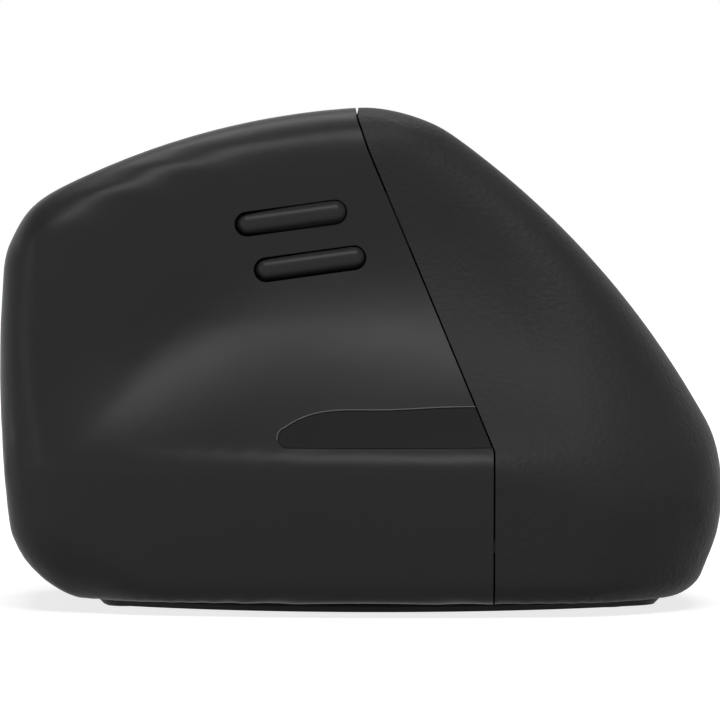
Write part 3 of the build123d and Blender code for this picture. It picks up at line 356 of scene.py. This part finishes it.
def make_materials(colours, sizes):
    """Every finish of the mouse: one for each slot of the record, then three for the added pieces.

    A moulded finish is given its name, colour, roughness, specular level, and its grain's spacing and
    depth. Some are also given the spread of their tone and how clear they are. A metal is given its
    name, colour, roughness, and its grain's spacing and depth.
    """
    return {
        # ABS from an eroded mould: satin, so that the soft box draws broad dim bands
        "charcoal_abs": moulded("ABS, eroded satin", colours.shell, 0.40, 0.13, sizes.grain, 0.004 * MM),
        # Polyurethane coat over ABS: nearly matt, with a bright rim at a low angle. Its pebble is
        # drawn coarser and deeper than the real one, which is too fine to show
        "soft_cover": moulded("Soft-touch coated ABS", colours.cover, 0.50, 0.09, sizes.pebble, 0.15 * MM),
        # Buttons come out of a finer mould, so their gloss is a little sharper
        "button_plastic": moulded("ABS, satin black", colours.keys, 0.38, 0.13, sizes.grain, 0.003 * MM),
        # Silicone has hardly any gloss: the pad reads as the darkest patch of the thumb side
        "grip_rubber": moulded("Silicone rubber, matt", colours.pad, 0.55, 0.05, sizes.grain, 0.006 * MM),
        # The tyre's ribs wear smooth, so they catch a little light
        "tyre_rubber": moulded("Wheel rubber", colours.tyre, 0.6, 0.3, sizes.grain, 0.01 * MM),
        # An unpainted hub keeps the shine of its polished mould
        "hub_plastic": moulded("Polycarbonate, dark", colours.hub, 0.25, 0.5, sizes.grain, 0.001 * MM),
        # Zinc plate is bright, with fine drawing marks
        "steel": metal("Steel, zinc plated", colours.steel, 0.3, 0.3 * MM, 0.002 * MM),
        # The base is matt, to hide scuffs, and its feet are slick and a shade paler
        "black_base": moulded("ABS, black", colours.base, 0.5, 0.08, sizes.grain, 0.006 * MM),
        "foot_plastic": moulded("PTFE film", colours.foot, 0.4, 0.4, sizes.grain, 0.002 * MM),
        # Glass fibres near the skin leave the frame's surface dull and uneven
        "inner_plastic": moulded("Glass-filled nylon", colours.hub, 0.6, 0.3, sizes.pebble, 0.01 * MM),
        # Lacquer over copper and glass cloth: glossy, with its green in two depths
        "board_green": moulded(
            "Solder mask on glass epoxy", colours.mask, 0.3, 0.5, sizes.pebble, 0.004 * MM, 0.2
        ),
        "switch_plastic": moulded("PBT, black", colours.switch, 0.5, 0.4, sizes.grain, 0.004 * MM),
        # Acetal is milky and waxy, so its tone is even
        "plunger_white": moulded(
            "Acetal, natural", colours.plunger, 0.35, 0.5, sizes.grain, 0.002 * MM, 0.04
        ),
        "chip_resin": moulded("Epoxy moulding compound", colours.switch, 0.6, 0.3, sizes.grain, 0.004 * MM),
        # Clear moulding: it shows the lamp and the board under it, with a sharp gloss on top
        "clear_lens": moulded("Polycarbonate, clear", colours.lens, 0.06, 0.5, sizes.grain, 0, 0.02, 0.9),
        # The pouch's foil has soft dents from its pressing
        "cell_foil": metal("Aluminium laminate", colours.foil, 0.35, 0.8 * MM, 0.01 * MM),
        # Cut cells take the light in and leave no gloss
        "foam": moulded("Closed-cell foam", colours.switch, 0.9, 0.1, sizes.pebble, 0.1 * MM, 0.3),
        # Extruded PVC is smooth and a little soft in its gloss
        "lead_red": moulded("PVC insulation", colours.lead_red, 0.35, 0.5, sizes.grain, 0.002 * MM),
        # The film is smooth and warm, over dark copper tracks
        "flex_amber": moulded("Polyimide film", colours.film, 0.25, 0.5, sizes.pebble, 0.002 * MM),
        "lamp": moulded("Lamp resin", colours.plunger, 0.3, 0.5, sizes.grain, 0),
        # The bead is coloured far paler than the shell, a painted highlight: it draws one thin bright line
        # along the pad's rim. Its round, glossy section also catches the lamps, so the line is partly real
        # light
        "highlight_bead": moulded("ABS, polished edge", colours.highlight_bead, 0.3, 0.2, sizes.grain, 0),
        "gold": metal("Gold flash on nickel", colours.copper, 0.22, 0.2 * MM, 0.0005 * MM),
        "ceramic": moulded("Barium titanate ceramic", colours.ceramic, 0.45, 0.4, sizes.grain, 0.002 * MM),
    }


def only(piece):
    """Selects one object and nothing else."""
    bpy.ops.object.select_all(action="DESELECT")
    piece.select_set(True)
    bpy.context.view_layer.objects.active = piece


def settle(piece, name, body, material):
    """Names a finished piece, moves its place into its mesh, and hangs it on its body."""
    only(piece)
    bpy.ops.object.transform_apply(location=True, rotation=True, scale=True)
    piece.name = name
    piece.data.name = name
    piece.data.materials.clear()
    piece.data.materials.append(material)
    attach(piece, body)


def slot_of(node):
    """The material slot of a node."""
    for entry in frame["record"]["subparts"]:
        if entry["node"] == node:
            return entry["material_slot"]
    raise ValueError("no slot for " + node)


def pick(piece, test):
    """In edit mode, selects the faces whose middle and normal pass a test."""
    bpy.ops.mesh.select_all(action="DESELECT")
    bpy.ops.object.mode_set(mode="OBJECT")
    for face in piece.data.polygons:
        face.select = test(face.center, face.normal)
    bpy.ops.object.mode_set(mode="EDIT")


def slab(place, size, soften):
    """A block with softened edges, from its middle, its size and its edge radius."""
    bpy.ops.object.select_all(action="DESELECT")
    bpy.ops.mesh.primitive_cube_add(size=1, location=place)
    piece = bpy.context.object
    piece.scale = size
    bpy.ops.object.transform_apply(location=True, rotation=True, scale=True)
    bpy.ops.object.mode_set(mode="EDIT")
    bpy.ops.mesh.select_all(action="SELECT")
    bpy.ops.mesh.bevel(offset=soften, segments=2, affect="EDGES")
    bpy.ops.object.mode_set(mode="OBJECT")
    return piece


def sink(piece, edge, depth):
    """Sinks a panel into the top face of a block, an edge in from its rim."""
    top = max(corner.co.z for corner in piece.data.vertices)
    bpy.ops.object.mode_set(mode="EDIT")
    pick(piece, lambda middle, normal: normal.z > SQUARE_ON and middle.z > top - TOUCH)
    bpy.ops.mesh.inset(thickness=edge, depth=0)
    bpy.ops.mesh.inset(thickness=depth, depth=-depth)
    bpy.ops.object.mode_set(mode="OBJECT")


def copies(piece, steps):
    """Copies a modelled piece by each step in a list, and joins them into one."""
    whole = [piece]
    for step in steps:
        only(piece)
        bpy.ops.object.duplicate(linked=False)
        bpy.ops.transform.translate(value=step)
        whole.append(bpy.context.object)
    return together(whole)


def together(pieces):
    """Joins pieces into the first one."""
    bpy.ops.object.select_all(action="DESELECT")
    for piece in pieces:
        piece.select_set(True)
    bpy.context.view_layer.objects.active = pieces[0]
    if len(pieces) > 1:
        bpy.ops.object.join()
    return bpy.context.object


def gull_lead(place, width, drop):
    """One lead of a chip, which steps down to its pad towards -Y."""
    piece = slab(Vector(place), (width, LEAD_THICK, LEAD_THICK), LEAD_THICK * LEAD_SOFTENING_SHARE)
    low = min(corner.co.y for corner in piece.data.vertices)
    bpy.ops.object.mode_set(mode="EDIT")
    pick(piece, lambda middle, normal: normal.y < -SQUARE_ON and middle.y < low + TOUCH)
    for share, fall in ((LEAD_RUN_SHARE, 0), (LEAD_SLOPE_SHARE, drop), (LEAD_RUN_SHARE, 0)):
        step = (0, -LEAD_REACH * share, -fall)
        bpy.ops.mesh.extrude_region_move(TRANSFORM_OT_translate={"value": step})
    bpy.ops.object.mode_set(mode="OBJECT")
    return piece


def chip(place, size, leads):
    """A moulded chip with leads along its two long sides; its seat is at place."""
    seat = Vector(place)
    case = slab(seat + Vector((0, 0, size[2] / 2 + CHIP_RAISE)), size, CHIP_SOFTENING)
    sink(case, CHIP_RIM, CHIP_SINK)
    spacing = size[0] / (leads + 0.5)
    start = seat + Vector((-spacing * (leads - 1) / 2, -size[1] / 2, size[2] / 2))
    rows = []
    for turn in (0, 180):
        lead = gull_lead(start, spacing * LEAD_WIDTH_SHARE, size[2] / 2 - LEAD_SEAT)
        row = copies(lead, [(spacing * count, 0, 0) for count in range(1, leads)])
        if turn:
            only(row)
            bpy.ops.transform.rotate(value=radians(turn), orient_axis="Z", center_override=seat)
        rows.append(row)
    return case, together(rows)


# Filled by the finishes operator, and read by the ones that add pieces
finishes = {}


class MOUSE_OT_finishes(bpy.types.Operator):
    """Gives every piece of the solid model its own finish"""

    bl_idname = "mouse.finishes"
    bl_label = "Finishes"

    def execute(self, context):
        scene = context.scene
        finishes.update(make_materials(scene.mouse_colours, scene.mouse_sizes))
        for node, piece in frame["nodes"].items():
            piece.data.materials.clear()
            piece.data.materials.append(finishes[slot_of(node)])
        return {"FINISHED"}


class MOUSE_OT_pad_highlight_bead(bpy.types.Operator):
    """The thin pale bead over the thumb pad, along the pad's own outline: its pale colour paints the
    highlight of the pad's rim, and its round section also catches the lamps
    """

    bl_idname = "mouse.pad_bead"
    bl_label = "Pad bead"

    def execute(self, context):
        sizes = context.scene.mouse_sizes
        only(frame["nodes"]["thumb_grip"])
        bpy.ops.object.duplicate(linked=False)
        pad = bpy.context.object
        bpy.ops.object.mode_set(mode="EDIT")
        bpy.ops.mesh.select_all(action="SELECT")
        bpy.ops.mesh.remove_doubles(threshold=WELD)
        bpy.ops.mesh.select_all(action="DESELECT")
        bpy.ops.object.mode_set(mode="OBJECT")
        beside = {}
        for face in pad.data.polygons:
            for pair in face.edge_keys:
                beside.setdefault(pair, []).append(face.normal.copy())
        shifts = {}
        outward, level, seam_side, lower_side = -0.3, 0.2, 0.5, -0.3
        for edge in pad.data.edges:
            front, wall = sorted(beside[tuple(sorted(edge.vertices))], key=lambda normal: normal.y)
            # The rim lies between the outer face and a wall. The wall at the seam and the lower one are bare
            rim = front.y < outward and abs(wall.y) < level
            edge.select = rim and wall.x < seam_side and wall.z > lower_side
            if edge.select:
                for corner in edge.vertices:
                    shifts.setdefault(corner, Vector())
                    shifts[corner] += (wall - wall.dot(front) * front).normalized()
        for corner, shift in shifts.items():
            pad.data.vertices[corner].co += shift.normalized() * sizes.bead_gap
        bpy.ops.object.mode_set(mode="EDIT")
        bpy.ops.mesh.select_mode(type="EDGE")
        bpy.ops.mesh.separate(type="SELECTED")
        bpy.ops.object.mode_set(mode="OBJECT")
        highlight_bead = [piece for piece in context.selected_objects if piece is not pad][0]
        only(pad)
        bpy.ops.object.delete()
        only(highlight_bead)
        bpy.ops.object.convert(target="CURVE")
        highlight_bead.data.bevel_depth = sizes.highlight_bead / 2
        highlight_bead.data.bevel_resolution = 3
        highlight_bead.data.use_fill_caps = True
        bpy.ops.object.convert(target="MESH")
        # The pale bead paints a highlight along the pad's rim
        settle(highlight_bead, "pad_bead", "housing", finishes["highlight_bead"])
        bpy.ops.object.shade_smooth()
        return {"FINISHED"}


class MOUSE_OT_inlet_contacts(bpy.types.Operator):
    """The gold contacts on both faces of the inlet's tongue"""

    bl_idname = "mouse.inlet_contacts"
    bl_label = "Inlet contacts"

    def execute(self, context):
        low, high = (Vector(corner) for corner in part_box("usb_receptacle"))
        middle = (low + high) / 2
        first_y = middle.y - CONTACT_PITCH * (CONTACT_COUNT - 1) / 2
        rows = []
        for side in (1, -1):
            place = Vector((low.x + CONTACT_FROM_MOUTH, first_y, middle.z + side * TONGUE_HALF))
            strip = slab(place, CONTACT_SIZE, CONTACT_SOFTENING)
            rows.append(copies(strip, [(0, CONTACT_PITCH * count, 0) for count in range(1, CONTACT_COUNT)]))
        settle(together(rows), "inlet_contacts", "housing", finishes["gold"])
        return {"FINISHED"}


class MOUSE_OT_board_parts(bpy.types.Operator):
    """The chips, the radio's can and the small parts that stand on the main board"""

    bl_idname = "mouse.board_parts"
    bl_label = "Board parts"

    def execute(self, context):
        top = max(corner[2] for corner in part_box("main_board"))
        cases = []
        leads = []
        for x, y, size, count in CHIPS:
            case, legs = chip((x * MM, y * MM, top), [side * MM for side in size], count)
            cases.append(case)
            leads.append(legs)
        settle(together(cases), "board_chips", "housing", finishes["chip_resin"])
        settle(together(leads), "board_chip_leads", "housing", finishes["steel"])
        cans = []
        for x, y, size, soften, rim, depth in CANS:
            middle = Vector((x * MM, y * MM, top + size[2] / 2 * MM))
            can = slab(middle, [side * MM for side in size], soften * MM)
            sink(can, rim * MM, depth * MM)
            cans.append(can)
        settle(together(cans), "radio_can", "housing", finishes["steel"])
        steps = [(x * MM, y * MM, 0) for x, y in CAPACITOR_STEPS]
        x, y = CAPACITOR_PLACE
        place = Vector((x * MM, y * MM, top + CAPACITOR_BODY[2] / 2 * MM))
        body = slab(place, [side * MM for side in CAPACITOR_BODY], CAPACITOR_SOFTENING)
        bodies = copies(body, steps)
        ends = []
        for side in (-1, 1):
            height = top + (CAPACITOR_BODY[2] / 2 + CAPACITOR_END_RAISE) * MM
            place = Vector(((x + side * CAPACITOR_END_OUT) * MM, y * MM, height))
            end = slab(place, [length * MM for length in CAPACITOR_END], CAPACITOR_SOFTENING)
            ends.append(copies(end, steps))
        settle(bodies, "board_capacitors", "housing", finishes["ceramic"])
        settle(together(ends), "board_capacitor_ends", "housing", finishes["steel"])
        return {"FINISHED"}


def soft_box(name, azimuth, elevation, width, height, power):
    """A rectangular soft box that points at the middle of the mouse."""
    middle = (cad_low + cad_high) / 2
    toward = Vector(
        (
            sin(radians(azimuth)) * cos(radians(elevation)),
            -cos(radians(azimuth)) * cos(radians(elevation)),
            sin(radians(elevation)),
        )
    )
    bpy.ops.object.light_add(type="AREA", location=middle + LAMP_AWAY * toward)
    lamp = bpy.context.object
    lamp.name = name
    lamp.data.shape = "RECTANGLE"
    lamp.data.size = width
    lamp.data.size_y = height
    lamp.data.energy = power
    lamp.rotation_euler = toward.to_track_quat("Z", "Y").to_euler()


class MOUSE_OT_stage(bpy.types.Operator):
    """Sets the camera, the soft boxes, the pale floor and the white room"""

    bl_idname = "mouse.stage"
    bl_label = "Stage"

    def execute(self, context):
        stage = context.scene.mouse_stage
        middle = (cad_low + cad_high) / 2
        bpy.ops.object.select_all(action="DESELECT")
        place = Vector((middle.x, middle.y - stage.camera_away, stage.camera_height))
        aim = Vector((middle.x, middle.y, middle.z - stage.camera_drop))
        turn = (place - aim).to_track_quat("Z", "Y").to_euler()
        bpy.ops.object.camera_add(location=place, rotation=turn)
        camera = context.object
        camera.name = "photo_camera"
        camera.data.lens = camera.data.sensor_width * stage.camera_away / stage.frame_width
        camera.data.clip_start = CLIP_NEAR
        camera.data.clip_end = CLIP_FAR
        context.scene.camera = camera
        for name, azimuth, elevation, width, height, power in LAMPS:
            soft_box(name, azimuth, elevation, width, height, getattr(stage, power))
        bpy.ops.mesh.primitive_grid_add(x_subdivisions=2, y_subdivisions=2, size=FLOOR_SIZE)
        floor = context.object
        floor.name = "floor"
        floor.data.materials.append(floor_finish(context.scene.mouse_colours.floor))
        floor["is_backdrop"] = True
        context.scene.world = room_light(stage.world_strength)
        context.scene.view_settings.view_transform = "Standard"
        return {"FINISHED"}


def background_share(tree):
    """1 for the rays that show the background: seen by the camera, in gloss or through glass."""
    rays = add(tree, "ShaderNodeLightPath").outputs
    share = rays["Is Camera Ray"]
    for kind in ("Is Glossy Ray", "Is Transmission Ray"):
        larger = add(tree, "ShaderNodeMath", {"operation": "MAXIMUM"}, {0: share, 1: rays[kind]})
        share = larger.outputs[0]
    return share


def floor_finish(colour):
    """Painted board, pale enough to meet the white room, that still takes the shadow."""
    material, tree, shader, place = blank("Painted studio board")
    mottle = add(tree, "ShaderNodeTexNoise", {"Scale": 1 / FLOOR_MOTTLE, "Detail": 3}, {"Vector": place})
    tone = add(
        tree,
        "ShaderNodeMix",
        {"data_type": "RGBA", 6: shade(colour, FLOOR_DARKEST), 7: shade(colour, 1.0)},
        {0: mottle.outputs["Fac"]},
    )
    tree.links.new(tone.outputs[2], shader.inputs["Base Color"])
    shader.inputs["Roughness"].default_value = FLOOR_ROUGHNESS
    shader.inputs["Specular IOR Level"].default_value = 0
    away = add(tree, "ShaderNodeVectorMath", {"operation": "LENGTH"}, {0: place})
    # Near the mouse the board stays a little darker, so that the shadow shows
    reach = add(
        tree,
        "ShaderNodeMapRange",
        {
            "From Min": FLOOR_DIM_TO,
            "From Max": FLOOR_WHITE_FROM,
            "To Min": FLOOR_GLOW_SHARE,
            "To Max": 1.0,
        },
        {"Value": away.outputs["Value"]},
    )
    glow = add(
        tree,
        "ShaderNodeMath",
        {"operation": "MULTIPLY"},
        {0: background_share(tree), 1: reach.outputs["Result"]},
    )
    shader.inputs["Emission Color"].default_value = (1, 1, 1, 1)
    tree.links.new(glow.outputs[0], shader.inputs["Emission Strength"])
    return material


def room_light(strength):
    """White at eye level where it is seen, grey overhead, and a dim even light on the mouse."""
    world = bpy.data.worlds.new("white_room")
    world.use_nodes = True
    tree = world.node_tree
    tree.nodes.clear()
    way = add(tree, "ShaderNodeTexCoord").outputs["Generated"]
    height = add(tree, "ShaderNodeSeparateXYZ", None, {0: way})
    ceiling = add(
        tree,
        "ShaderNodeMapRange",
        {
            "From Min": ROOM_WHITE_TO,
            "From Max": ROOM_GREY_FROM,
            "To Min": 1.0,
            "To Max": CEILING_SHARE,
        },
        {"Value": height.outputs["Z"]},
    )
    seen = add(
        tree,
        "ShaderNodeMix",
        {"data_type": "FLOAT", 2: strength},
        {0: background_share(tree), 3: ceiling.outputs["Result"]},
    )
    light = add(tree, "ShaderNodeBackground", {"Color": (1, 1, 1, 1)}, {"Strength": seen.outputs[0]})
    add(tree, "ShaderNodeOutputWorld", None, {"Surface": light.outputs["Background"]})
    return world


class MOUSE_PT_panel(bpy.types.Panel):
    """Sizes, colours and the pieces of the mouse"""

    bl_label = "Vertical mouse"
    bl_idname = "MOUSE_PT_panel"
    bl_space_type = "VIEW_3D"
    bl_region_type = "UI"
    bl_category = "Mouse"

    def draw(self, context):
        layout = self.layout
        for group in (context.scene.mouse_colours, context.scene.mouse_sizes, context.scene.mouse_stage):
            column = layout.box().column()
            for key in group.__annotations__:
                column.prop(group, key)
        for operator in operators:
            layout.operator(operator.bl_idname)


groups = (MouseColours, MouseSizes, MouseStage)
operators = (
    MOUSE_OT_stage,
    MOUSE_OT_finishes,
    MOUSE_OT_pad_highlight_bead,
    MOUSE_OT_inlet_contacts,
    MOUSE_OT_board_parts,
)


def register():
    """Registers the classes, and hangs the settings on the scene."""
    for item in groups + operators + (MOUSE_PT_panel,):
        bpy.utils.register_class(item)
    bpy.types.Scene.mouse_colours = bpy.props.PointerProperty(type=MouseColours)
    bpy.types.Scene.mouse_sizes = bpy.props.PointerProperty(type=MouseSizes)
    bpy.types.Scene.mouse_stage = bpy.props.PointerProperty(type=MouseStage)


def unregister():
    """Takes the settings and the classes away again."""
    del bpy.types.Scene.mouse_colours
    del bpy.types.Scene.mouse_sizes
    del bpy.types.Scene.mouse_stage
    for item in (MOUSE_PT_panel,) + operators[::-1] + groups[::-1]:
        bpy.utils.unregister_class(item)


def main():
    """Builds the mouse and its stage."""
    register()
    bpy.ops.mouse.stage()
    bpy.ops.mouse.finishes()
    bpy.ops.mouse.pad_bead()
    bpy.ops.mouse.inlet_contacts()
    bpy.ops.mouse.board_parts()


if __name__ == "__main__":
    main()
